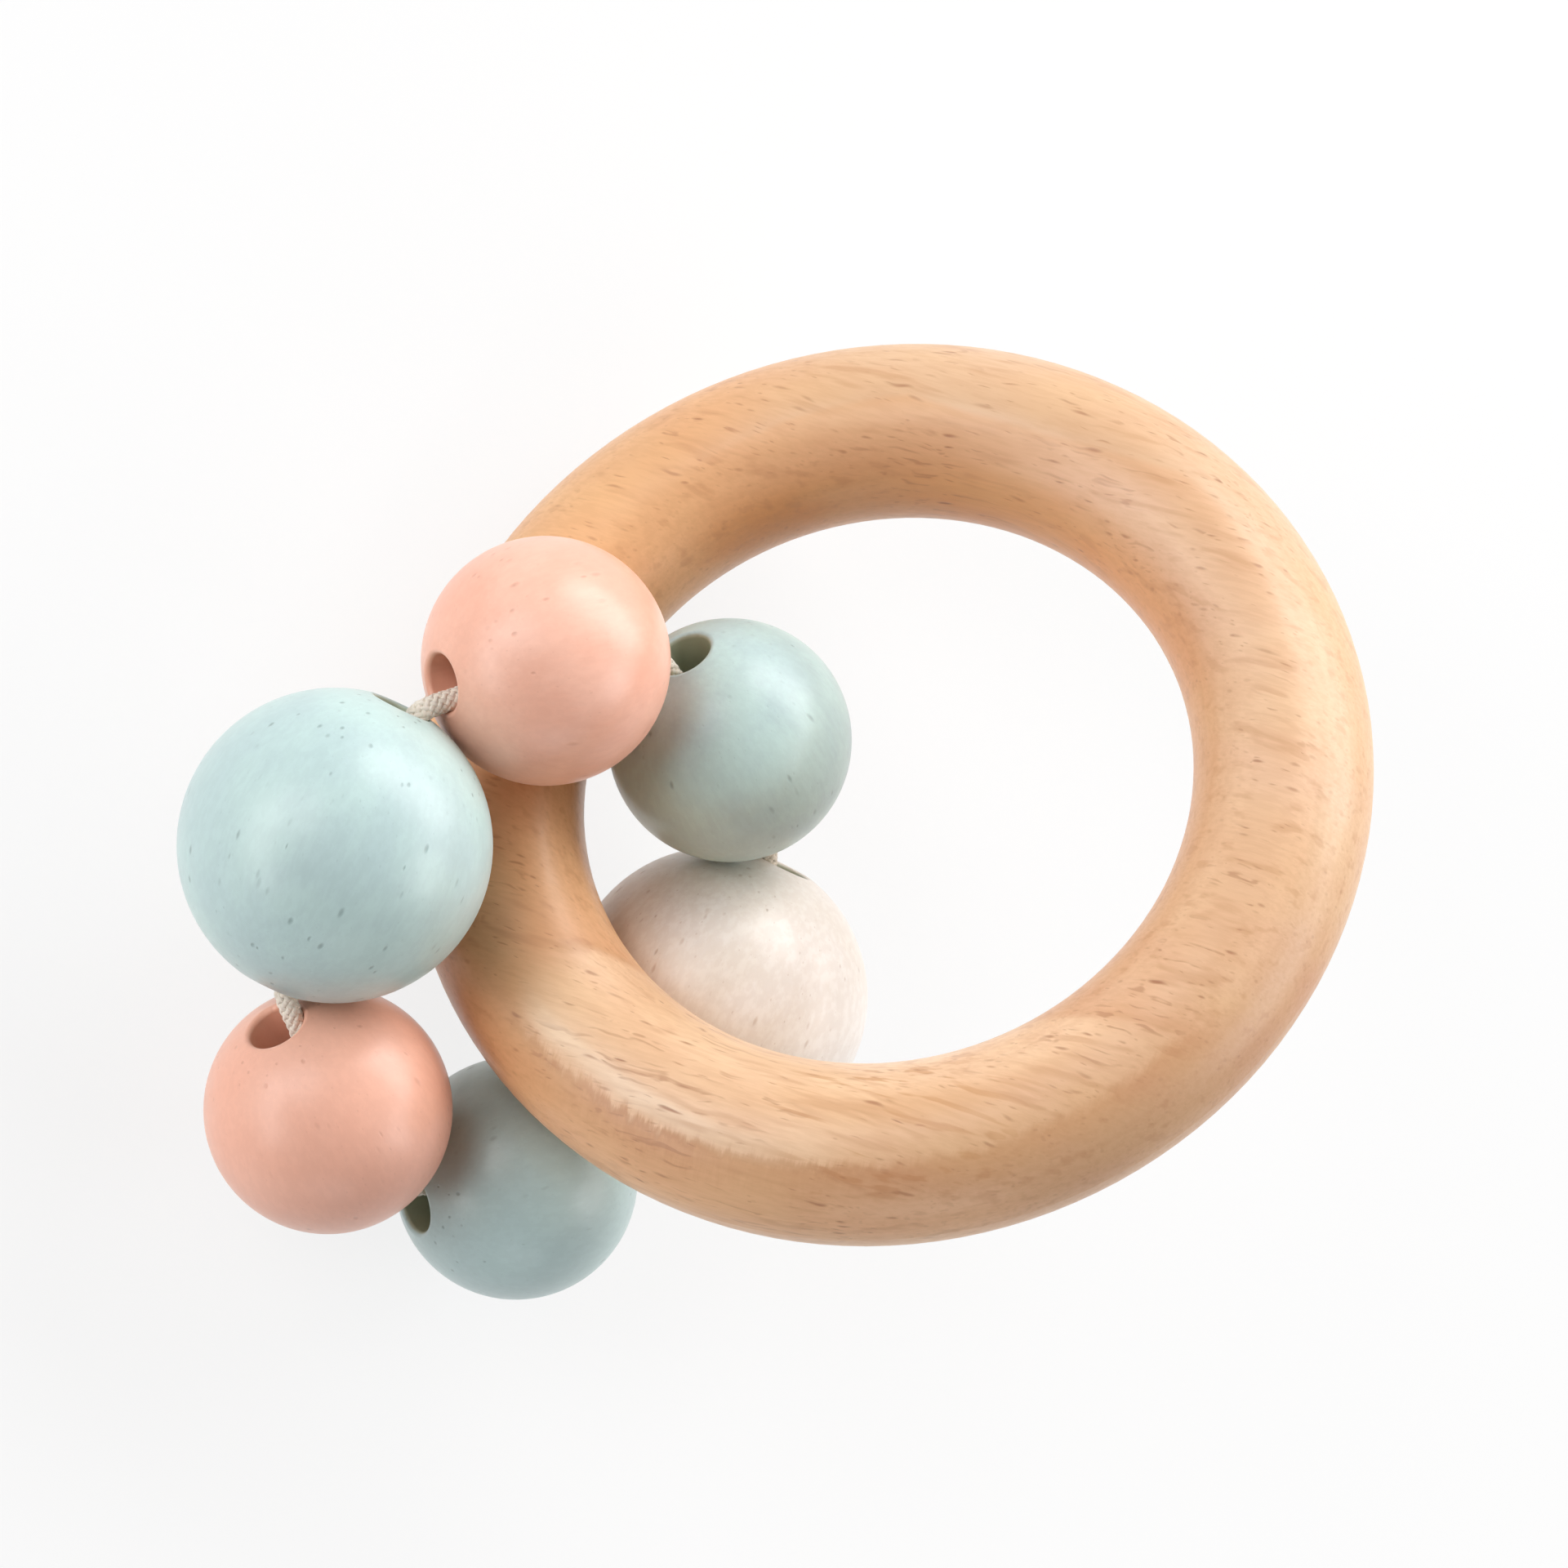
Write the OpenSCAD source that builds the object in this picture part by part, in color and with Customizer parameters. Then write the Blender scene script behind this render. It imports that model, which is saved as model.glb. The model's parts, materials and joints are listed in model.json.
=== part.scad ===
// Bead ring rattle: a round wooden ring with a closed loop of six wooden beads strung round its bar.
// Millimetres, +Z up. The rattle lies on a table at z = 0, on the ring, the lower aqua bead and
// the cream bead. The ring's plane rises along +X, and the origin is under the middle of the
// bounding box.

/* [Ring] */
// Outside diameter of the ring
ring_outer_d = 79.2; // [74:0.1:90]
// Diameter of the ring's round bar
ring_bar_d = 14.5; // [12:0.1:16]

/* [Beads] */
// Diameter of the four small beads
small_bead_d = 20; // [18.5:0.1:22]
// Diameter of the two large beads
large_bead_d = 25; // [23:0.1:26.5]
// Diameter of the bore through each bead
bore_d = 4.7; // [4.4:0.1:6]
// Distance from a large bead at which the lines of its bore and of a small bead's bore meet
bore_meet = 1.2; // [0.8:0.1:1.6]
// Radius of the rounded edge at each mouth of a bore
mouth_round = 0.4; // [0.3:0.1:1]

/* [Cord] */
// Diameter of the cord
cord_d = 1.9; // [1.4:0.1:2.4]

/* [Clearances] */
// Least gap between two neighbouring beads
bead_gap = 0.25; // [0.2:0.05:1]
// Gap between the ring's bar and the beads drawn up to it
bar_gap = 0.25; // [0.2:0.05:1]
// Gap between the cord and the inner side of the bores that it pulls against
cord_gap = 0.1; // [0.1:0.05:0.5]
// Gap all round the cord's knot in the bore that hides it
knot_gap = 0.2; // [0.1:0.05:0.5]

/* [Loop pose] */
// Distance of the loop's middle from the middle of the bar, away from the ring's axis
seat_out = -1.34; // [-2:0.01:0]
// Distance of the loop's middle from the middle of the bar, along the ring's axis
seat_up = 0.89; // [0:0.01:1.5]
// Turn of the loop about the ring's radius, in degrees, made first
loop_roll = 36.6; // [34:0.1:43]
// Turn of the loop about the bar, in degrees, made second
loop_pitch = 52.7; // [46:0.1:59]
// Turn of the loop about the ring's axis, in degrees, made last
loop_yaw = 157.8; // [151:0.1:160]

/* [Hidden] */
$fn = 96;

wood = [0.87, 0.69, 0.52];
pink = [0.91, 0.66, 0.57];
aqua = [0.72, 0.82, 0.81];
cream = [0.92, 0.87, 0.81];
twine = [0.86, 0.80, 0.73];

// Beads in the order that the cord passes through them, each with its diameter
BEADS = [
    ["pink_bead_upper", small_bead_d],
    ["aqua_bead_large", large_bead_d],
    ["pink_bead_lower", small_bead_d],
    ["aqua_bead_lower", small_bead_d],
    ["cream_bead_large", large_bead_d],
    ["aqua_bead_upper", small_bead_d]];
LAST = len(BEADS) - 1;
function index(name) = search([name], BEADS)[0];
knotted = index("cream_bead_large");

bar_r = ring_bar_d / 2;
ring_r = ring_outer_d / 2 - bar_r;
small_r = small_bead_d / 2;
large_r = large_bead_d / 2;
bore_r = bore_d / 2;
bead_r = [for (b = BEADS) b[1] / 2];

function unit(v) = v / norm(v);
function turn_x(v, a) = [v.x, v.y * cos(a) - v.z * sin(a), v.y * sin(a) + v.z * cos(a)];
function turn_y(v, a) = [v.x * cos(a) + v.z * sin(a), v.y, v.z * cos(a) - v.x * sin(a)];
function turn_z(v, a) = [v.x * cos(a) - v.y * sin(a), v.x * sin(a) + v.y * cos(a), v.z];
function next(i) = i == LAST ? 0 : i + 1;

// Smallest x from low to high at which the rising function f is no longer negative
function first_clear(f, low, high, steps = 40) =
    let (middle = (low + high) / 2)
    steps == 0 ? high
    : f(middle) < 0 ? first_clear(f, middle, high, steps - 1)
    : first_clear(f, low, middle, steps - 1);

// The loop is flat. Its own frame has the large beads on X and the small ones above and below it.
// The ring's frame has the ring's axis on Z and the middle of the loop near +X.
loop_middle = [ring_r + seat_out, 0, seat_up];
function on_ring(p) = loop_middle
    + turn_z(turn_y(turn_x([p.x, p.y, 0], loop_roll), loop_pitch), loop_yaw);
function gap_to_bar(p, r) =
    let (c = on_ring(p))
    norm([norm([c.x, c.y]) - ring_r, c.z]) - bar_r - r;

// The large beads come as close to the bar as the clearance lets them
large_reach = first_clear(
    function (x) min(gap_to_bar([-x, 0], large_r), gap_to_bar([x, 0], large_r)) - bar_gap,
    large_r, large_r + 2 * bar_r);

// The beads stand a spacing apart, wide enough for the small ones to clear the bar too
function bead_places(spacing) =
    let (x = small_r + spacing / 2)
    let (y = sqrt(pow(small_r + large_r + spacing, 2) - pow(large_reach - x, 2)))
    [[-x, y], [-large_reach, 0], [-x, -y], [x, -y], [large_reach, 0], [x, y]];
function spare_gap(spacing) =
    let (p = bead_places(spacing))
    min([for (i = [0:LAST]) gap_to_bar(p[i], bead_r[i])]) - bar_gap;
bead_spacing = spare_gap(bead_gap) >= 0 ? bead_gap
    : first_clear(function (x) spare_gap(x), bead_gap, bead_gap + small_r);
bead_at = bead_places(bead_spacing);

// The bores of the large beads lie along Y. Each bore of a small bead meets the line of a large
// bead's bore just outside the large bead.
meet = [large_reach, large_r + bore_meet];
bore_way = [
    unit([-meet.x, meet.y] - bead_at[0]), [0, -1], unit(bead_at[2] + meet),
    unit([meet.x, -meet.y] - bead_at[3]), [0, 1], unit(bead_at[5] - meet)];
inward = [for (w = bore_way) [-w.y, w.x]];

// The cord pulls against the inner side of each bore. Its inner edge runs from mouth to mouth.
cord_r = cord_d / 2;
edge_in = bore_r - cord_gap;
mouth_at = [for (r = bead_r) sqrt(r * r - bore_r * bore_r)];
edge_enters = [for (i = [0:LAST]) bead_at[i] + inward[i] * edge_in - bore_way[i] * mouth_at[i]];
edge_leaves = [for (i = [0:LAST]) bead_at[i] + inward[i] * edge_in + bore_way[i] * mouth_at[i]];

// Stations along the cord, each a point of the loop's plane, the direction there and the radius
function beside(edge, way) = [edge + cord_r * [way.y, -way.x], way, cord_r];

// The knot is three tight wraps round the joined ends, and it fills the middle of its bore
wrap_steps = 6;
wrap_at = bore_r - knot_gap - cord_r;
function knot_station(along, radius) =
    [bead_at[knotted] + bore_way[knotted] * along, bore_way[knotted], radius];
function knot_stations() = [
    knot_station(-3 * cord_r, cord_r),
    for (wrap = [-1:1]) for (k = [0:wrap_steps - 1])
        let (a = 180 * k / wrap_steps)
        knot_station(wrap * cord_d - cord_r * cos(a), wrap_at + cord_r * sin(a)),
    knot_station(3 * cord_r, wrap_at),
    knot_station(3 * cord_r, cord_r)];

// From one bore to the next the inner edge runs straight, and the cord bends round it
bend_steps = 8;
function bend_stations(i) = [
    for (k = [1:bend_steps - 1])
        let (t = k / bend_steps)
        beside((1 - t) * edge_leaves[i] + t * edge_enters[next(i)],
            unit((1 - t) * bore_way[i] + t * bore_way[next(i)]))];
cord_stations = [
    for (i = [0:LAST]) each [
        beside(edge_enters[i], bore_way[i]),
        each i == knotted ? knot_stations() : [],
        beside(edge_leaves[i], bore_way[i]),
        each bend_stations(i)]];

// Upward direction, in the ring's frame, of a table under the ring's bar at the angle phi,
// the lower aqua bead and the cream bead
bead_on_ring = [for (p = bead_at) on_ring(p)];
function up_from_table(phi) =
    let (foot = bead_on_ring[index("aqua_bead_lower")])
    let (to_cream = bead_on_ring[index("cream_bead_large")] - foot)
    let (to_bar = ring_r * [cos(phi), sin(phi), 0] - foot)
    let (k = cross(to_cream, to_bar))
    let (flat = (large_r - small_r) * cross(to_bar, k) + (bar_r - small_r) * cross(k, to_cream))
    let (part = flat / (k * k))
    part + sqrt(1 - part * part) * sign(k.z) * unit(k);

// The bar's lowest point follows from the table's direction, and that from the lowest point
function settled_up(phi, steps = 80) =
    let (up = up_from_table(phi))
    steps == 0 ? up : settled_up(atan2(-up.y, -up.x), steps - 1);
up = settled_up(-60);
tilt = acos(up.z);
uphill = atan2(up.y, up.x);

// Bounding box as the rattle lies, about the middle of the ring
function as_it_lies(v) = turn_y(turn_z(v, -uphill), -tilt);
bead_lies = [for (c = bead_on_ring) as_it_lies(c)];
ring_half = [ring_r * cos(tilt) + bar_r, ring_r + bar_r, ring_r * sin(tilt) + bar_r];
low = [for (a = [0:2]) min(-ring_half[a], min([for (i = [0:LAST]) bead_lies[i][a] - bead_r[i]]))];
high = [for (a = [0:2]) max(ring_half[a], max([for (i = [0:LAST]) bead_lies[i][a] + bead_r[i]]))];
ring_middle = [-(low.x + high.x) / 2, -(low.y + high.y) / 2, -low.z];

module on_table() {
    translate(ring_middle) rotate([0, -tilt, 0]) rotate([0, 0, -uphill]) children();
}

module in_loop() {
    on_table() translate(loop_middle) rotate([loop_roll, loop_pitch, loop_yaw]) children();
}

// Puts a shape that stands on the Z axis along the bore of one bead, at a point of the loop's plane
module along_bore(i, at) {
    in_loop() translate([at.x, at.y, 0]) rotate([0, 0, atan2(bore_way[i].y, bore_way[i].x)])
        rotate([0, 90, 0]) children();
}

// Turned bead with its bore on Z and rounded edges at both mouths
module turned_bead(r) {
    lip = [bore_r + mouth_round, sqrt(pow(r - mouth_round, 2) - pow(bore_r + mouth_round, 2))];
    rotate_extrude() for (side = [0, 1]) mirror([0, side]) {
        difference() {
            intersection() {
                circle(r = r);
                translate([bore_r, 0]) square(r);
            }
            polygon([[0, lip.y], lip, 2 * lip, [0, 2 * lip.y]]);
        }
        translate(lip) circle(r = mouth_round);
    }
}

module bead(name) {
    i = index(name);
    along_bore(i, bead_at[i]) turned_bead(bead_r[i]);
}

module ring() {
    color(wood) on_table() rotate_extrude() translate([ring_r, 0]) circle(d = ring_bar_d);
}

module cord() {
    count = len(cord_stations);
    cord_sides = 12;
    color(twine) in_loop() polyhedron(
        points = [for (s = cord_stations) for (j = [0:cord_sides - 1])
            let (a = 360 * j / cord_sides)
            [s[0].x - s[2] * cos(a) * s[1].y, s[0].y + s[2] * cos(a) * s[1].x, s[2] * sin(a)]],
        faces = [for (m = [0:count - 1]) for (j = [0:cord_sides - 1])
            let (here = m * cord_sides, there = (m + 1) % count * cord_sides, k = (j + 1) % cord_sides)
            each [[here + j, there + k, here + k], [here + j, there + j, there + k]]]);
}

module pink_bead_upper() {
    color(pink) bead("pink_bead_upper");
}

module aqua_bead_large() {
    color(aqua) bead("aqua_bead_large");
}

module pink_bead_lower() {
    color(pink) bead("pink_bead_lower");
}

module aqua_bead_lower() {
    color(aqua) bead("aqua_bead_lower");
}

module cream_bead_large() {
    color(cream) bead("cream_bead_large");
}

module aqua_bead_upper() {
    color(aqua) bead("aqua_bead_upper");
}

ring();
cord();
pink_bead_upper();
aqua_bead_large();
pink_bead_lower();
aqua_bead_lower();
cream_bead_large();
aqua_bead_upper();
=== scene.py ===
import json
import math

import bpy
import numpy as np
from mathutils import Matrix, Vector

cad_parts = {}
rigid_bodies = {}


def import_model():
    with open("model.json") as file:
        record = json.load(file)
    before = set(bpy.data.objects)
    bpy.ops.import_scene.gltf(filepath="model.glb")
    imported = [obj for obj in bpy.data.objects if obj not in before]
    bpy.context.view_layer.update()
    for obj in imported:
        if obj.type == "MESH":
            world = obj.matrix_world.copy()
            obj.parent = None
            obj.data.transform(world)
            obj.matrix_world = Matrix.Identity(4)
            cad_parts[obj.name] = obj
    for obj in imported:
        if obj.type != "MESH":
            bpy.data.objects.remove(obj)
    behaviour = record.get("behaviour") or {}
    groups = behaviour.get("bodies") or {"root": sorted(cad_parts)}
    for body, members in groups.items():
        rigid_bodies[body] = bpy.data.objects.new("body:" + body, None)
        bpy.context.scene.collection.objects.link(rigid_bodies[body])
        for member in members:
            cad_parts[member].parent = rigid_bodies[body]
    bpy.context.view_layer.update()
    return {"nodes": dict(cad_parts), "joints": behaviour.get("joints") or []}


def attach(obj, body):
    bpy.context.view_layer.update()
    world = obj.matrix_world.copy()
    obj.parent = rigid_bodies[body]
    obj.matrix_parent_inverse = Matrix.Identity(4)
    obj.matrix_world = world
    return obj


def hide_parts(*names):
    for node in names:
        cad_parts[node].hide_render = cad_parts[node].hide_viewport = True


for leftover in list(bpy.data.objects):
    bpy.data.objects.remove(leftover)
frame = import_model()
nodes = frame["nodes"]
joints = {j["name"]: j for j in frame["joints"]}
MM = 0.001
PER_MM = 1000.0

# Beads in the order of the cord: node, joint that it spins on, paint, and how much painted shade darkens
# its paint
BEADS = [
    ("pink_bead_upper", "pink_upper_spin", "pink", 0.0),
    ("aqua_bead_large", "aqua_large_spin", "aqua", 0.35),
    ("pink_bead_lower", "pink_lower_spin", "pink", 0.6),
    ("aqua_bead_lower", "aqua_lower_spin", "aqua", 0.7),
    ("cream_bead_large", "cream_large_spin", "cream", 0.0),
    ("aqua_bead_upper", "aqua_upper_spin", "aqua", 0.0),
]

# Sizes of the CAD model in mm: the beads' bores, and the ring's middle line and half thickness
BORE_RADIUS = 2.35
RING_MIDDLE = 32.35
BAR_RADIUS = 7.25


def srgb(r, g, b):
    """Linear colour of an 8-bit sRGB colour."""
    def linear(v):
        v /= 255.0
        return v / 12.92 if v <= 0.04045 else ((v + 0.055) / 1.055) ** 2.4
    return (linear(r), linear(g), linear(b), 1.0)


class Graph:
    """Shader nodes of one material or world."""

    def __init__(self, owner):
        self.owner = owner
        owner.use_nodes = True
        self.tree = owner.node_tree
        self.tree.nodes.clear()

    def put(self, socket, value):
        if isinstance(value, bpy.types.NodeSocket):
            self.tree.links.new(value, socket)
        else:
            socket.default_value = value

    def add(self, kind, inputs=None, **settings):
        node = self.tree.nodes.new(kind)
        for key, value in settings.items():
            setattr(node, key, value)
        for key, value in (inputs or {}).items():
            self.put(node.inputs[key], value)
        return node

    def math(self, operation, a, b=0.0):
        return self.add("ShaderNodeMath", {0: a, 1: b}, operation=operation).outputs[0]

    def product(self, *values):
        total = values[0]
        for value in values[1:]:
            total = self.math("MULTIPLY", total, value)
        return total

    def plus(self, value, other, share):
        """value and a share of another."""
        return self.math("ADD", value, self.math("MULTIPLY", other, share))

    def length(self, a, b):
        return self.math("SQRT", self.math("ADD", self.math("MULTIPLY", a, a), self.math("MULTIPLY", b, b)))

    def steps(self, value, low, high, to_low=0.0, to_high=1.0, smooth=True):
        """value from low to high becomes to_low to to_high."""
        node = self.add("ShaderNodeMapRange",
                        {"Value": value, "From Min": low, "From Max": high,
                         "To Min": to_low, "To Max": to_high},
                        interpolation_type="SMOOTHSTEP" if smooth else "LINEAR")
        return node.outputs["Result"]

    def mix(self, factor, a, b):
        node = self.add("ShaderNodeMix", data_type="RGBA", blend_type="MIX")
        self.put(node.inputs[0], factor)
        self.put(node.inputs[6], a)
        self.put(node.inputs[7], b)
        return node.outputs[2]

    def local_mm(self, centre, turn):
        """Object coordinates in millimetres about a point, turned by a matrix."""
        place = self.add("ShaderNodeTexCoord").outputs["Object"]
        node = self.add("ShaderNodeMapping", {
            "Vector": place, "Scale": (PER_MM,) * 3, "Rotation": turn.to_euler(),
            "Location": -(turn @ Vector(centre)) * PER_MM})
        return node.outputs["Vector"]

    def stretch(self, vector, x, y, z):
        return self.add("ShaderNodeMapping", {"Vector": vector, "Scale": (x, y, z)}).outputs["Vector"]

    def noise(self, vector, scale=1.0, detail=2.0, rough=0.5):
        node = self.add("ShaderNodeTexNoise", {
            "Vector": vector, "Scale": scale, "Detail": detail, "Roughness": rough})
        return node.outputs["Fac"]

    def pores(self, vector, wide, long, radius, share, least=0.45, softness=0.5):
        """1 in the middle of a pore. Cells are wide across and long along Z, and share of them hold one."""
        cells = self.add("ShaderNodeTexVoronoi", {
            "Vector": self.stretch(vector, 1 / wide, 1 / wide, 1 / long), "Scale": 1.0,
            "Randomness": 1.0}, feature="F1")
        draw = self.add("ShaderNodeSeparateColor", {"Color": cells.outputs["Color"]})
        size = self.steps(draw.outputs["Green"], 0.0, 1.0, least * radius, radius, smooth=False)
        size = self.math("MULTIPLY", size, self.math("LESS_THAN", draw.outputs["Red"], share))
        inside = self.math("DIVIDE", cells.outputs["Distance"], self.math("MAXIMUM", size, 1e-4))
        return self.steps(inside, softness, 1.0, 1.0, 0.0)

    def waver(self, vector, scale, across):
        """vector pushed about by a noise, across Z."""
        cloud = self.add("ShaderNodeTexNoise", {"Vector": vector, "Scale": scale, "Detail": 1.0})
        shift = self.add("ShaderNodeMapping", {
            "Vector": cloud.outputs["Color"], "Scale": (across, across, 0.0),
            "Location": (-across / 2, -across / 2, 0.0)})
        total = self.add("ShaderNodeVectorMath", {0: vector, 1: shift.outputs["Vector"]}, operation="ADD")
        return total.outputs["Vector"]

    def bump(self, height, distance):
        node = self.add("ShaderNodeBump", {"Height": height, "Distance": distance, "Strength": 1.0})
        return node.outputs["Normal"]

    def seen(self):
        """1 for the rays that show a white background: from the camera, mirrored or let through."""
        path = self.add("ShaderNodeLightPath")
        through = self.math("MAXIMUM", path.outputs["Is Glossy Ray"], path.outputs["Is Transmission Ray"])
        return self.math("MAXIMUM", path.outputs["Is Camera Ray"], through)

    def finish(self, shader, output="ShaderNodeOutputMaterial"):
        self.add(output, {"Surface": shader.outputs[0]})
        return self.owner


def new_material(name):
    return Graph(bpy.data.materials.new(name))


# Bead paints: colours, and how strongly grain, speckles and pits show in them. The deep colour is random
# mottle, and on the lower beads also painted shade; the bore colour is unpainted wood with painted shade in
# the hole.
PAINTS = {
    "pink": dict(colour=srgb(251, 195, 172), deep=srgb(245, 182, 157), pore=srgb(186, 120, 98),
                 bore=srgb(242, 180, 154), grain=0.06, speckle=0.12, pits=0.30),
    "aqua": dict(colour=srgb(201, 227, 222), deep=srgb(187, 210, 210), pore=srgb(118, 140, 138),
                 bore=srgb(176, 187, 163), grain=0.06, speckle=0.10, pits=0.58),
    "cream": dict(colour=srgb(251, 246, 240), deep=srgb(245, 238, 228), pore=srgb(196, 172, 154),
                  bore=srgb(196, 196, 174), grain=0.13, speckle=0.28, pits=0.50),
}
RELIEF = 0.05 * MM


def bead_paint(name, centre, axis, paint, painted_shade):
    """Stained and lacquered wood whose fibre lies along the bead's bore."""
    g = new_material(name)
    local = g.local_mm(centre, Vector(axis).rotation_difference(Vector((0, 0, 1))).to_matrix())
    mottle = g.noise(local, scale=0.13)
    fibre = g.noise(g.stretch(local, 2.2, 2.2, 0.3), detail=3.0, rough=0.6)
    grain = g.noise(g.stretch(local, 1.5, 1.5, 0.75), detail=3.0, rough=0.65)
    crowd = g.noise(local, scale=0.17, detail=1.0)
    pits = g.pores(g.waver(local, scale=0.5, across=0.3), wide=1.1, long=3.2, radius=0.27, share=0.8,
                   least=0.4, softness=0.2)
    pits = g.product(pits, g.steps(crowd, 0.40, 0.56, 0.25, 1.0))
    specks = g.product(g.pores(local, wide=0.5, long=1.0, radius=0.2, share=0.5), paint["speckle"])
    # The tone mixes the deep and the main colour by random mottle. The painted shade share pulls it further
    # towards the deep colour on the beads that lie lower, in shade.
    tone = g.steps(g.plus(mottle, fibre, 0.25), 0.45, 0.80, 0.0, 1.0 - painted_shade)
    colour = g.mix(tone, paint["deep"], paint["colour"])
    colour = g.mix(g.steps(grain, 0.42, 0.62, paint["grain"], 0.0), colour, paint["pore"])
    colour = g.mix(specks, colour, paint["pore"])
    colour = g.mix(g.product(pits, paint["pits"]), colour, paint["pore"])
    parts = g.add("ShaderNodeSeparateXYZ", {"Vector": local})
    from_axis = g.length(parts.outputs["X"], parts.outputs["Y"])
    # Inside the bore the paint gives way to the bore colour: unpainted wood, darkened as painted shade in
    # the hole.
    bore_wood_and_shade = g.steps(from_axis, BORE_RADIUS + 0.02, BORE_RADIUS + 0.22, 1.0, 0.0)
    colour = g.mix(bore_wood_and_shade, colour, paint["bore"])
    peel = g.noise(local, scale=1.3)
    relief = g.math("ADD", g.product(fibre, 0.15), g.product(peel, 0.30))
    sunk = g.math("ADD", pits, specks)
    rough = g.steps(g.math("ADD", peel, fibre), 0.7, 1.3, 0.38, 0.48)
    return g.finish(g.add("ShaderNodeBsdfPrincipled", {
        "Base Color": colour, "Roughness": rough, "IOR": 1.46, "Coat Weight": 0.4,
        "Coat Roughness": 0.28, "Normal": g.bump(g.math("SUBTRACT", relief, sunk), RELIEF)}))


# Direction of the ring's fibre, and the edges of its two pale layers in mm. The outer layer lies
# beyond a line and a shifted circle, the inner one beyond a slanted line and inside a circle.
FIBRE_WAY = (0.722, 0.2035, 0.6613)
OUTER_LINE = 30.3
OUTER_CIRCLE = 32.6
OUTER_SHIFT = 3.0
INNER_SLANT = 0.164
INNER_LINE = 20.06
INNER_CIRCLE = 36.2
# Colours of the ring's wood, with places named as the camera sees them
WOOD = dict(
    base_near=srgb(227, 175, 131), base_far=srgb(234, 191, 155),
    # Flank colours: painted shade on the bar's sides, and painted light on the front flank.
    flank=srgb(235, 172, 125), flank_front_lit=srgb(255, 198, 145), flank_shade=srgb(213, 137, 72),
    left_end=srgb(231, 177, 122), outer_late=srgb(223, 176, 129), slope_band=srgb(219, 165, 121),
    # Front left colour: partly the wood's own brown, partly painted shade. Lower right colour: painted
    # shade.
    edge_late=srgb(198, 140, 97), front_left=srgb(206, 133, 86), lower_right_shade=srgb(196, 147, 110),
    # Inner right and inner back colours: painted shade.
    inner_right_shade=srgb(210, 155, 117), inner_back_shade=srgb(219, 147, 80), top_right=srgb(246, 208, 176),
    # Inner front colour: a painted sheen on the pale layer.
    outer_pale=srgb(226, 188, 151), inner_pale=srgb(244, 204, 165), inner_front_sheen=srgb(255, 221, 187),
    # Crest colour: a painted sheen.
    grain=srgb(192, 131, 82), crest_sheen=srgb(255, 229, 200), seam=srgb(176, 119, 76),
    blush=srgb(229, 186, 135), cloud=srgb(215, 159, 117), growth_line=srgb(197, 142, 98),
    streak=srgb(190, 133, 90), fibre=srgb(188, 133, 89), thread=srgb(168, 110, 72),
    small_vessel=srgb(164, 102, 63), large_vessel=srgb(151, 90, 53),
)


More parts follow.
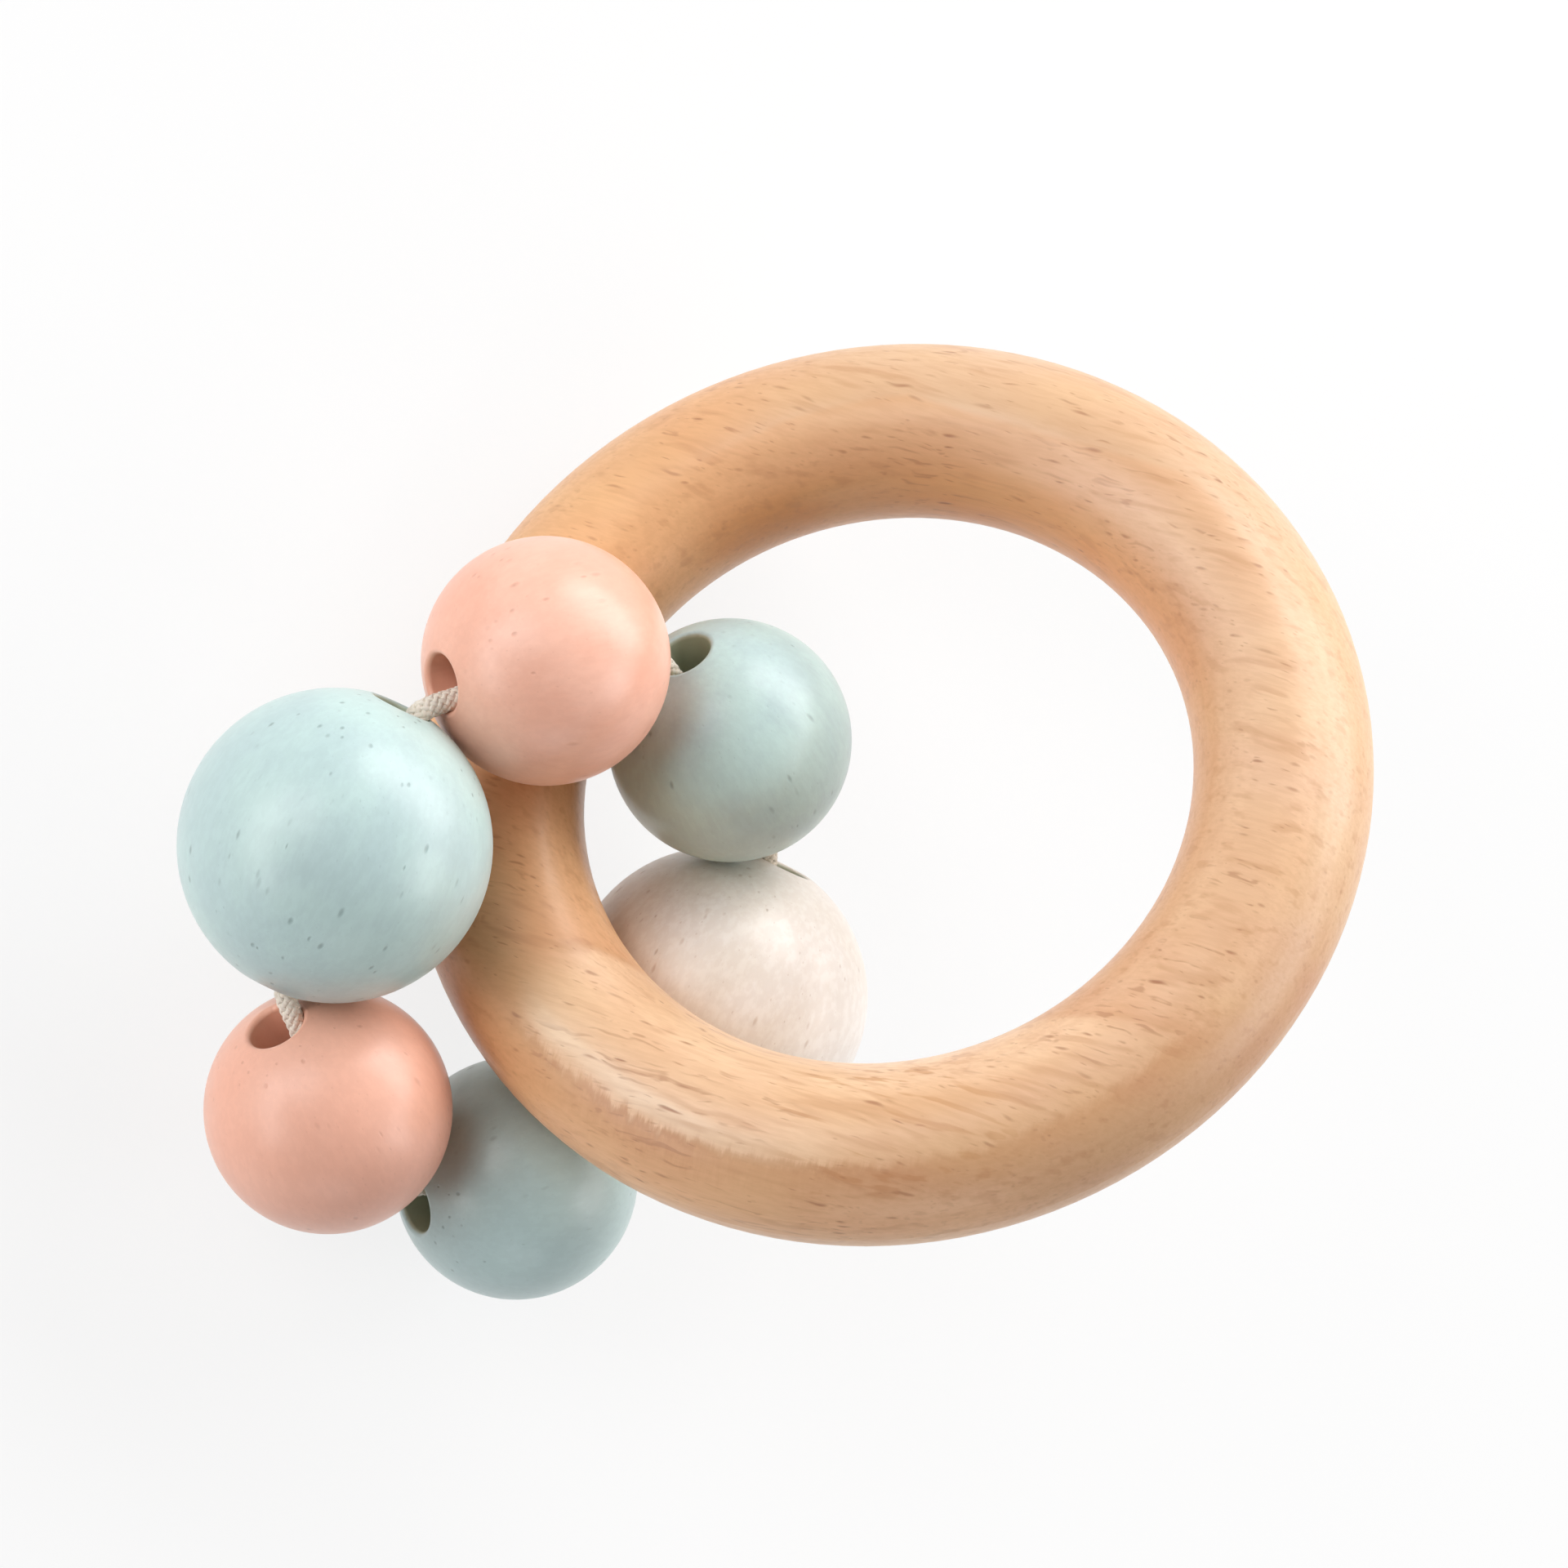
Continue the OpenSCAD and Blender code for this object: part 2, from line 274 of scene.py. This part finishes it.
def ring_wood(name):
    """Oiled pale hardwood: growth layers, fine fibre and short open vessels.

    Lengths are in mm from the ring's middle: across and along the fibre, and height along the ring's axis.
    """
    g = new_material(name)
    travel = joints["loop_travel"]
    fibre_way = Vector(FIBRE_WAY).normalized()
    ring_axis = Vector(travel["axis"]).normalized()
    turn = Matrix((ring_axis.cross(fibre_way).normalized(), ring_axis, fibre_way))
    local = g.local_mm(travel["pos_m"], turn)
    parts = g.add("ShaderNodeSeparateXYZ", {"Vector": local})
    across, height, along = (parts.outputs[k] for k in "XYZ")
    radius = g.length(across, along)

    def uneven(x, y, z, **settings):
        """Noise between -1 and 1, stretched along each way."""
        return g.steps(g.noise(g.stretch(local, x, y, z), **settings), 0.0, 1.0, -1.0, 1.0, smooth=False)

    sway = uneven(0.09, 0.09, 0.05)
    comb = uneven(0.2, 0.4, 1.3, detail=4.0, rough=0.7)

    # How deep a point lies in the outer pale layer, and how far that layer reaches
    beyond = g.math("SUBTRACT", g.length(across, g.math("SUBTRACT", along, OUTER_SHIFT)), OUTER_CIRCLE)
    outer = g.plus(g.math("MAXIMUM", g.math("SUBTRACT", across, OUTER_LINE), beyond), sway, 0.6)
    reach = g.product(g.steps(across, -7.0, 3.0), g.steps(along, -26.0, -14.0))

    # The same for the inner pale layer, whose edge has teeth, and the front where this edge shows
    slope = g.math("SUBTRACT", g.product(along, INNER_SLANT), g.math("ADD", across, INNER_LINE))
    slope = g.plus(slope, sway, 0.9)
    inset = g.plus(g.math("SUBTRACT", INNER_CIRCLE, radius), sway, 0.8)
    edge = g.plus(inset, comb, g.steps(along, 0.0, 14.0, 1.9, 0.8))
    start = g.steps(along, -20.5, -15.0)
    front = g.steps(across, -10.0, -20.0)

    # Upper face, flanks and left end. The flanks carry painted shade: a warmer, more saturated colour on
    # the bar's sides, deepest across the middle short of the right end, and painted light that makes the
    # front flank lighter.
    base = g.mix(g.steps(along, -8.0, 24.0), WOOD["base_near"], WOOD["base_far"])
    flank = g.mix(g.steps(across, -14.0, -26.0), WOOD["flank"], WOOD["flank_front_lit"])
    # Painted shade: the deepest flank colour, across the middle and short of the right end.
    deep = g.product(g.steps(across, -12.0, 12.0), g.steps(along, 22.0, 2.0))
    flank = g.mix(deep, flank, WOOD["flank_shade"])
    colour = g.mix(g.steps(height, 5.2, 0.5, 0.0, 0.85), base, flank)
    colour = g.mix(g.steps(along, -12.0, -26.0, 0.0, 0.5), colour, WOOD["left_end"])

    # Darker late wood before the edges of the pale layers
    late = g.product(g.steps(outer, -2.4, -0.2, 0.0, 0.3), reach)
    colour = g.mix(late, colour, WOOD["outer_late"])
    colour = g.mix(g.steps(slope, -4.5, 0.0, 0.0, 0.4), colour, WOOD["slope_band"])
    late = g.product(g.steps(edge, -2.4, 0.0, 0.0, 0.6), g.steps(slope, -1.0, 1.0), start)
    colour = g.mix(late, colour, WOOD["edge_late"])

    # Single darker and lighter places
    # A brown patch on the front left: partly the wood's own colour, partly painted shade.
    patch = g.product(g.steps(along, -15.0, -21.0, 0.0, 0.35), g.steps(across, -20.0, -27.0))
    colour = g.mix(patch, colour, WOOD["front_left"])
    # Painted shade on the outer lower right of the ring.
    patch = g.product(g.steps(radius, 35.5, 38.5, 0.0, 0.6), g.steps(along, 20.0, 30.0),
                      g.steps(across, 14.0, 2.0))
    colour = g.mix(patch, colour, WOOD["lower_right_shade"])
    # Painted shade on the ring's inner right side.
    patch = g.product(g.steps(radius, 30.0, 26.5, 0.0, 0.7), g.steps(along, 10.0, 20.0))
    colour = g.mix(patch, colour, WOOD["inner_right_shade"])
    # Painted shade on the inner flank at the back.
    patch = g.product(g.steps(radius, 28.5, 25.5, 0.0, 0.5), g.steps(across, 8.0, 18.0))
    colour = g.mix(patch, colour, WOOD["inner_back_shade"])
    patch = g.product(g.steps(along, 18.0, 28.0, 0.0, 0.6), g.steps(across, -4.0, 8.0),
                      g.steps(height, 4.5, 6.8))
    colour = g.mix(patch, colour, WOOD["top_right"])

    # Pale layers. The inner one fades along the fibre, is lightest on the ring's inner side at the front,
    # where a painted sheen lies on it, and has grain lines.
    colour = g.mix(g.product(g.steps(outer, 0.0, 0.8, 0.0, 0.9), reach), colour, WOOD["outer_pale"])
    fade = g.product(g.steps(along, 4.0, 18.0, 0.0, 0.32), g.steps(radius, 30.0, 33.5))
    inner = g.math("MINIMUM", slope, edge)
    pale = g.product(g.steps(inner, -0.2, 1.0, 0.0, 0.9), start, g.math("SUBTRACT", 1.0, fade))
    colour = g.mix(pale, colour, WOOD["inner_pale"])
    # Painted sheen on the pale layer, on the inner side at the front.
    patch = g.product(g.steps(radius, 31.5, 27.5, 0.0, 0.8), g.steps(across, -14.0, -22.0),
                      g.steps(along, -10.0, 0.0))
    colour = g.mix(patch, colour, WOOD["inner_front_sheen"])
    grain = g.noise(g.stretch(g.waver(local, scale=0.2, across=0.8), 1.1, 1.1, 0.045), rough=0.55)
    grain = g.product(g.steps(grain, 0.55, 0.63, 0.0, 0.65), g.steps(along, 1.0, 8.0),
                      g.steps(along, 28.0, 18.0), g.steps(across, -20.0, -26.0), g.steps(height, 3.8, 5.8))
    colour = g.mix(grain, colour, WOOD["grain"])

    # Light strip along the inner layer's edge, a painted sheen on the pale wood, with a dark seam beside it
    crest_sheen = g.math("ABSOLUTE", g.math("SUBTRACT", inset, g.steps(along, -16.0, 10.0, 1.9, 0.7)))
    crest_sheen = g.product(g.steps(crest_sheen, 1.3, 0.3, 0.0, 0.65), start, g.steps(along, 11.0, 2.0), front)
    colour = g.mix(crest_sheen, colour, WOOD["crest_sheen"])
    seam = g.steps(g.math("ABSOLUTE", g.plus(inset, comb, 0.8)), 0.5, 0.1, 0.0, 0.35)
    seam = g.product(seam, g.steps(slope, 0.0, 2.0), start, g.steps(along, 16.0, 8.0), front)
    colour = g.mix(seam, colour, WOOD["seam"])

    # Growth lines, clouds, fibre, streaks, threads and vessels. The last two show less on end grain.
    level = g.math("ADD", g.math("SUBTRACT", height, g.product(across, 0.03)), sway)
    line_at = g.add("ShaderNodeCombineXYZ", {"X": g.product(level, 1.6), "Y": g.product(along, 0.03)})
    growth_line = g.noise(line_at.outputs[0], rough=0.55)
    cloud = g.noise(g.stretch(local, 0.16, 0.16, 0.08), detail=3.0, rough=0.55)
    blush = g.noise(g.stretch(local, 0.11, 0.11, 0.05))
    fibre = g.noise(g.stretch(local, 2.6, 2.6, 0.3), detail=3.0, rough=0.6)
    streak = g.noise(g.stretch(g.waver(local, scale=0.15, across=1.2), 0.9, 0.9, 0.08))
    crowd = g.noise(g.stretch(local, 0.22, 0.22, 0.1))
    end_grain = g.math("DIVIDE", g.product(along, g.math("SUBTRACT", radius, RING_MIDDLE)),
                       g.product(radius, BAR_RADIUS))
    shown = g.steps(g.math("ABSOLUTE", end_grain), 0.15, 0.55, 1.0, 0.3)
    wavy = g.waver(local, scale=0.35, across=0.9)
    thread = g.noise(g.stretch(wavy, 2.4, 2.4, 0.10), detail=1.0)
    thread = g.product(g.steps(thread, 0.60, 0.73), g.steps(crowd, 0.40, 0.62, 0.0, 0.5), shown)
    large = g.pores(wavy, wide=0.72, long=5.0, radius=0.34, share=0.62, softness=0.2)
    large = g.product(large, g.steps(crowd, 0.36, 0.58, 0.45, 1.0), shown)
    small = g.product(g.pores(wavy, wide=0.42, long=3.6, radius=0.32, share=0.7, softness=0.2), shown)
    colour = g.mix(g.steps(blush, 0.40, 0.62, 0.35, 0.0), colour, WOOD["blush"])
    colour = g.mix(g.steps(cloud, 0.36, 0.66, 0.22, 0.0), colour, WOOD["cloud"])
    colour = g.mix(g.steps(growth_line, 0.35, 0.62, 0.12, 0.0), colour, WOOD["growth_line"])
    colour = g.mix(g.steps(streak, 0.55, 0.70, 0.0, 0.34), colour, WOOD["streak"])
    colour = g.mix(g.steps(fibre, 0.36, 0.62, 0.15, 0.0), colour, WOOD["fibre"])
    colour = g.mix(thread, colour, WOOD["thread"])
    colour = g.mix(g.product(small, 0.42), colour, WOOD["small_vessel"])
    colour = g.mix(g.product(large, 0.78), colour, WOOD["large_vessel"])
    hollow = g.math("ADD", g.product(large, 0.45), g.product(small, 0.2))
    relief = g.math("SUBTRACT", g.product(fibre, 0.25), hollow)
    rough = g.steps(fibre, 0.3, 0.7, 0.50, 0.38)
    return g.finish(g.add("ShaderNodeBsdfPrincipled", {
        "Base Color": colour, "Roughness": rough, "IOR": 1.42, "Coat Weight": 0.4,
        "Coat Roughness": 0.30, "Normal": g.bump(relief, RELIEF)}))


def cord_yarn(name):
    """Off-white cotton yarn with fine fibres along each strand."""
    g = new_material(name)
    uv = g.add("ShaderNodeTexCoord").outputs["UV"]
    hairs = g.noise(g.stretch(uv, 2.0, 12.0, 1.0), detail=3.0, rough=0.6)
    dirt = g.noise(g.stretch(uv, 0.3, 0.3, 1.0))
    colour = g.mix(g.steps(hairs, 0.35, 0.65), srgb(247, 236, 219), srgb(253, 246, 234))
    colour = g.mix(g.steps(dirt, 0.5, 0.75, 0.0, 0.30), colour, srgb(240, 224, 207))
    return g.finish(g.add("ShaderNodeBsdfPrincipled", {
        "Base Color": colour, "Roughness": 0.85, "Sheen Weight": 0.25, "Sheen Roughness": 0.5,
        "Normal": g.bump(hairs, 0.06 * MM)}))


for bead, joint, paint, painted_shade in BEADS:
    spin = joints[joint]
    material = bead_paint(bead + "_paint", spin["pos_m"], spin["axis"], PAINTS[paint], painted_shade)
    nodes[bead].data.materials[0] = material
nodes["ring"].data.materials[0] = ring_wood("ring_oiled_wood")

# Cord: a braid that the beads pull against the inner lips of their bores, tied in the cream bead.
# Lengths are in mm. The lips are rounded, and the cord is pressed into them.
CORD_RADIUS = 1.03
LIP_ROUND = 0.4
PULLED_IN = 0.08
PRESSED = 0.17
PRESS_ENDS = (0.4, 3.0)
SKIN = 0.01
# Half thickness under which the cord stays round
ROUND_BELOW = 0.7
# Braid: the core's share of the thickness, the strands and their place, rise and half sizes
CORE_SHARE = 0.68
STRANDS_EACH_WAY = 8
BRAID_PITCH = 6.2
STRAND_AT = 0.73
STRAND_RISE = 0.07
STRAND_WIDE = 0.29
STRAND_THICK = 0.2
STEP = 0.12
SIDES = 6
# Steps of a bend, and reach in steps over which the route and its thickness are smoothed
BEND_STEPS = 9
LINE_REACH = 4
HALF_REACH = 3
# Between the last bead and the first the cord hangs a little below the loop's plane
SUNK = 0.5
SUNK_ENDS = (3.0, 9.0)
# Knot: wraps round the joined ends in one bead, where the cord runs in the bore's middle
KNOTTED = 4
CENTRED_ENDS = (3.0, 8.5)
THINNED_ENDS = (3.0, 4.2)
WRAPS = 3
WRAP_PITCH = 1.88
WRAP_RADIUS = 1.36
WRAP_HALF = 0.74
WRAP_FLATTENED = 0.18
CORE_HALF = 0.56


def unit(v):
    return v / np.linalg.norm(v)


def units(rows):
    return rows / np.linalg.norm(rows, axis=1)[:, None]


def ease(x, ends):
    """0 at the first end and 1 at the second, level at both."""
    low, high = ends
    t = np.clip((x - low) / (high - low), 0, 1)
    return t * t * (3 - 2 * t)


count_beads = len(BEADS)
middle = [np.array(joints[j]["pos_m"]) * PER_MM for _, j, _, _ in BEADS]
way = [unit(np.array(joints[j]["axis"])) for _, j, _, _ in BEADS]
bead_radius = [max((v.co * PER_MM - Vector(c)).length for v in nodes[b].data.vertices)
               for (b, _, _, _), c in zip(BEADS, middle)]
loop_normal = unit(sum(np.cross(way[i], way[(i + 1) % count_beads]) for i in range(count_beads)))
inward = [np.cross(loop_normal, w) for w in way]
lip_in = BORE_RADIUS + LIP_ROUND
lip_at = [math.sqrt((r - LIP_ROUND) ** 2 - lip_in ** 2) for r in bead_radius]


def smooth_loop(values, reach):
    """Closed row of values, each averaged with its neighbours over a reach of steps."""
    shifts = np.arange(-3 * reach, 3 * reach + 1)
    weight = np.exp(-0.5 * (shifts / reach) ** 2)
    weight /= weight.sum()
    return sum(w * np.roll(values, k, axis=0) for w, k in zip(weight, shifts))


def cord_route():
    """Middle of the cord, a step apart, with its outward direction, half thickness there and length."""
    corners = []
    for i in range(count_beads):
        inner = middle[i] + inward[i] * lip_in
        corners += [inner - way[i] * lip_at[i], inner + way[i] * lip_at[i]]
    count = len(corners)
    runs = [unit(corners[(k + 1) % count] - corners[k]) for k in range(count)]
    outs = [-np.cross(loop_normal, u) for u in runs]
    place, out, press = [], [], []
    for k in range(count):
        before, after = outs[k - 1], outs[k]
        for t in np.linspace(0, 1, BEND_STEPS):
            place.append(corners[k])
            out.append(unit((1 - t) * before + t * after))
            press.append(1.0)
        between_beads = k % 2 == 1
        length = np.linalg.norm(corners[(k + 1) % count] - corners[k])
        for d in np.arange(STEP, length - STEP / 2, STEP):
            place.append(corners[k] + runs[k] * d)
            out.append(after)
            from_lip = min(d, length - d)
            press.append(1.0 if between_beads else 1.0 - ease(from_lip, PRESS_ENDS))
    place, out, press = np.array(place), np.array(out), np.array(press)
    half = CORD_RADIUS - PRESSED * press
    line = place + out * (LIP_ROUND - PULLED_IN * press + half)[:, None]

    # At the knot the cord moves to the bore's middle and is thinner
    from_middle = line - middle[KNOTTED]
    along = np.abs(from_middle @ way[KNOTTED])
    in_bead = np.linalg.norm(from_middle, axis=1) < bead_radius[KNOTTED]
    near = in_bead * (1 - ease(along, CENTRED_ENDS))
    line -= (near * (from_middle @ inward[KNOTTED]))[:, None] * inward[KNOTTED]
    half -= (CORD_RADIUS - CORE_HALF) * near * (1 - ease(along, THINNED_ENDS))

    # Even steps, smoothed
    closed = np.vstack([line, line[:1]])
    run = np.concatenate([[0], np.cumsum(np.linalg.norm(np.diff(closed, axis=0), axis=1))])
    steps = int(round(run[-1] / STEP))
    at = np.arange(steps) * run[-1] / steps

    def spread(values):
        return np.interp(at, run, np.concatenate([values, values[:1]]))

    line = np.stack([spread(line[:, k]) for k in range(3)], 1)
    half = smooth_loop(spread(half), HALF_REACH)
    line = smooth_loop(line, LINE_REACH)
    between = (corners[0] + corners[-1]) / 2
    drop = SUNK * (1 - ease(np.linalg.norm(line - between, axis=1), SUNK_ENDS))
    line -= drop[:, None] * loop_normal
    ahead = np.roll(line, -1, 0) - np.roll(line, 1, 0)
    return line, units(np.cross(ahead, loop_normal)), half, run[-1]


def knot_route():
    """Middle of the wraps round the joined ends, with the outward direction there."""
    steps = int(WRAPS * 2 * np.pi * WRAP_RADIUS / STEP)
    turn = np.linspace(-np.pi * WRAPS, np.pi * WRAPS, steps)
    out = np.cos(turn)[:, None] * inward[KNOTTED] + np.sin(turn)[:, None] * loop_normal
    rise = turn / (2 * np.pi) * WRAP_PITCH
    return middle[KNOTTED] + out * WRAP_RADIUS + rise[:, None] * way[KNOTTED], out


def along_line(line, closed):
    """Direction of a line at each of its points."""
    if closed:
        return units(np.roll(line, -1, 0) - np.roll(line, 1, 0))
    return units(np.gradient(line, axis=0))


def tube(line, across, deep, closed):
    """Vertices, faces and texture places of a tube round a line, from two rows of half axes."""
    count = len(line)
    around = np.arange(SIDES) * 2 * np.pi / SIDES
    rings = (line[:, None, :] + across[:, None, :] * np.cos(around)[None, :, None]
             + deep[:, None, :] * np.sin(around)[None, :, None])
    rows = count if closed else count - 1
    here = np.arange(rows)[:, None] * SIDES
    there = np.arange(1, rows + 1)[:, None] % count * SIDES
    s = np.arange(SIDES)[None, :]
    t = (s + 1) % SIDES
    faces = np.stack([here + s, there + s, there + t, here + t], -1).reshape(-1, 4).tolist()
    u = np.broadcast_to(np.arange(rows)[:, None] * STEP, (rows, SIDES))
    v = np.broadcast_to(s / SIDES, (rows, SIDES))
    places = np.stack([u, v, u + STEP, v, u + STEP, v + 1 / SIDES, u, v + 1 / SIDES], -1)
    places = places.reshape(-1, 2).tolist()
    if not closed:
        last = (count - 1) * SIDES
        faces += [list(range(SIDES)), list(range(last + SIDES - 1, last - 1, -1))]
        places += [(0.0, 0.5)] * SIDES + [(count * STEP, 0.5)] * SIDES
    return rings.reshape(-1, 3), faces, places


def braid(line, out, half_out, half_side, turns, closed):
    """Tubes of a core and of the strands braided round it along a line."""
    count = len(line)
    side = units(np.cross(along_line(line, closed), out))
    core_side = side * (CORE_SHARE * half_side)[:, None]
    core_out = out * (CORE_SHARE * half_out)[:, None]
    tubes = [tube(line, core_side, core_out, closed)]
    phase = 2 * np.pi * turns * np.arange(count) / count
    weave = np.cos(STRANDS_EACH_WAY * phase)
    reach = np.minimum(half_out, half_side)[:, None]
    for sense in (1, -1):
        for k in range(STRANDS_EACH_WAY):
            turn = sense * phase + 2 * np.pi * k / STRANDS_EACH_WAY
            level = STRAND_AT + STRAND_RISE * sense * weave
            spoke = (np.cos(turn) * half_out)[:, None] * out + (np.sin(turn) * half_side)[:, None] * side
            strand = line + spoke * level[:, None]
            face = (np.cos(turn) / half_out)[:, None] * out + (np.sin(turn) / half_side)[:, None] * side
            face = units(face)
            wide = units(np.cross(along_line(strand, closed), face))
            tubes.append(tube(strand, wide * STRAND_WIDE * reach, face * STRAND_THICK * reach, closed))
    return tubes


def clear_of_beads(points):
    """Points that lie in the wood of a bead, moved out to its surface."""
    tiny = 1e-9
    for centre, axis, radius, lip in zip(middle, way, bead_radius, lip_at):
        away = points - centre
        along = away @ axis
        spoke = away - along[:, None] * axis
        from_axis = np.linalg.norm(spoke, axis=1)
        height = np.abs(along)
        to_lip = np.hypot(from_axis - lip_in, height - lip)
        in_wall = (height < lip) & (from_axis > BORE_RADIUS - SKIN) & (from_axis < lip_in)
        in_lip = (height >= lip) & (to_lip < LIP_ROUND + SKIN)
        whole = np.linalg.norm(away, axis=1)
        in_ball = (height >= lip) & ~in_lip & (from_axis > lip_in) & (whole < radius + SKIN)
        grow = (LIP_ROUND + SKIN) / np.maximum(to_lip, tiny)
        new_from, new_height = from_axis.copy(), height.copy()
        new_from[in_wall] = BORE_RADIUS - SKIN
        new_from[in_lip] = lip_in + (from_axis[in_lip] - lip_in) * grow[in_lip]
        new_height[in_lip] = lip + (height[in_lip] - lip) * grow[in_lip]
        swell = (radius + SKIN) / np.maximum(whole, tiny)
        new_from[in_ball] *= swell[in_ball]
        new_height[in_ball] *= swell[in_ball]
        spoke *= (new_from / np.maximum(from_axis, tiny))[:, None]
        points = centre + spoke + (np.sign(along) * new_height)[:, None] * axis
    return points


line, out, half, cord_length = cord_route()
wide_half = np.where(half < ROUND_BELOW, half, CORD_RADIUS ** 2 / np.maximum(half, ROUND_BELOW))
tubes = braid(line, out, half, wide_half, round(cord_length / BRAID_PITCH), True)
knot_line, knot_out = knot_route()
knot_half = np.full(len(knot_line), WRAP_HALF)
knot_turns = len(knot_line) * STEP / BRAID_PITCH
tubes += braid(knot_line, knot_out, knot_half, knot_half + WRAP_FLATTENED, knot_turns, False)
verts, faces, uvs = [], [], []
for tube_points, tube_faces, places in tubes:
    first = len(verts)
    verts += tube_points.tolist()
    faces += [[first + v for v in f] for f in tube_faces]
    uvs += places
verts = clear_of_beads(np.array(verts)) * MM
mesh = bpy.data.meshes.new("cord_braid")
mesh.from_pydata(verts.tolist(), [], faces)
layer = mesh.uv_layers.new(name="UVMap")
layer.data.foreach_set("uv", np.array(uvs, np.float32).ravel())
mesh.polygons.foreach_set("use_smooth", [True] * len(mesh.polygons))
mesh.materials.append(cord_yarn("cord_yarn"))
cord = bpy.data.objects.new("cord_braid", mesh)
bpy.context.scene.collection.objects.link(cord)
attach(cord, "bead_loop")
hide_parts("cord")

# Floor: matte, with a share of its own white where it is seen, so that a soft shadow stays
FLOOR_HALF = 3
FLOOR_DROP = 0.02
FLOOR_GLOW = 0.82
WHITE = (1, 1, 1, 1)
floor_mesh = bpy.data.meshes.new("floor")
floor_corners = [(FLOOR_HALF * x, FLOOR_HALF * y, 0) for x, y in ((-1, -1), (1, -1), (1, 1), (-1, 1))]
floor_mesh.from_pydata(floor_corners, [], [(0, 1, 2, 3)])
floor = bpy.data.objects.new("floor", floor_mesh)
floor.location.z = -FLOOR_DROP * MM
bpy.context.scene.collection.objects.link(floor)
g = new_material("floor_white")
glow_share = g.product(g.seen(), FLOOR_GLOW)
matte = g.add("ShaderNodeBsdfDiffuse", {"Color": (0.9, 0.9, 0.9, 1)})
glow = g.add("ShaderNodeEmission", {"Color": WHITE, "Strength": 1.0})
both = g.add("ShaderNodeMixShader", {0: glow_share, 1: matte.outputs[0], 2: glow.outputs[0]})
floor_mesh.materials.append(g.finish(both))

# World: soft even light, white where it is seen
g = Graph(bpy.data.worlds.new("studio"))
lit = g.add("ShaderNodeBackground", {"Color": WHITE, "Strength": 0.05})
shown = g.add("ShaderNodeBackground", {"Color": WHITE, "Strength": 1.0})
choose = g.add("ShaderNodeMixShader", {0: g.seen(), 1: lit.outputs[0], 2: shown.outputs[0]})
bpy.context.scene.world = g.finish(choose, "ShaderNodeOutputWorld")

# Lamps that look at the middle of the rattle: direction, width, height and watts
LAMPS = {
    "key": ((0.08, 0.82, 0.51), 1.2, 0.5, 10.4),
    "left": ((-0.80, -0.12, 0.54), 0.5, 0.5, 2.6),
    "low_left": ((-0.88, -0.36, 0.22), 0.5, 0.3, 1.9),
    "front_left": ((-0.62, -0.76, 0.20), 0.5, 0.3, 1.5),
    "right": ((0.74, 0.25, 0.60), 0.5, 0.5, 2.7),
    "front": ((0.50, -0.80, 0.24), 0.5, 0.3, 0.6),
}
LAMP_DISTANCE = 0.9
LAMP_AIM = Vector((0, 0, 0.02))
for name, (direction, width, height, watts) in LAMPS.items():
    data = bpy.data.lights.new(name, "AREA")
    data.shape = "RECTANGLE"
    data.size = width
    data.size_y = height
    data.energy = watts
    lamp = bpy.data.objects.new(name, data)
    away = Vector(direction).normalized()
    lamp.location = LAMP_AIM + away * LAMP_DISTANCE
    lamp.rotation_euler = away.to_track_quat("Z", "Y").to_euler()
    bpy.context.scene.collection.objects.link(lamp)

# Camera, found from the outlines of the ring and the beads in the photograph
CAMERA_AT = (-0.183369, -0.140255, 0.502422)
CAMERA_RIGHT = Vector((0.70995, 0.54897, 0.44113))
CAMERA_UP = Vector((-0.61253, 0.79044, 0.00213))
CAMERA_FORWARD = Vector((0.34752, 0.27172, -0.89744))
lens = bpy.data.cameras.new("camera")
lens.lens = 150.0
lens.sensor_width = 36.0
lens.clip_start = 0.01
camera = bpy.data.objects.new("camera", lens)
turn = Matrix((CAMERA_RIGHT, CAMERA_UP, -CAMERA_FORWARD)).transposed()
camera.matrix_world = Matrix.Translation(CAMERA_AT) @ turn.to_4x4()
bpy.context.scene.collection.objects.link(camera)
bpy.context.scene.camera = camera
bpy.context.scene.view_settings.view_transform = "Standard"
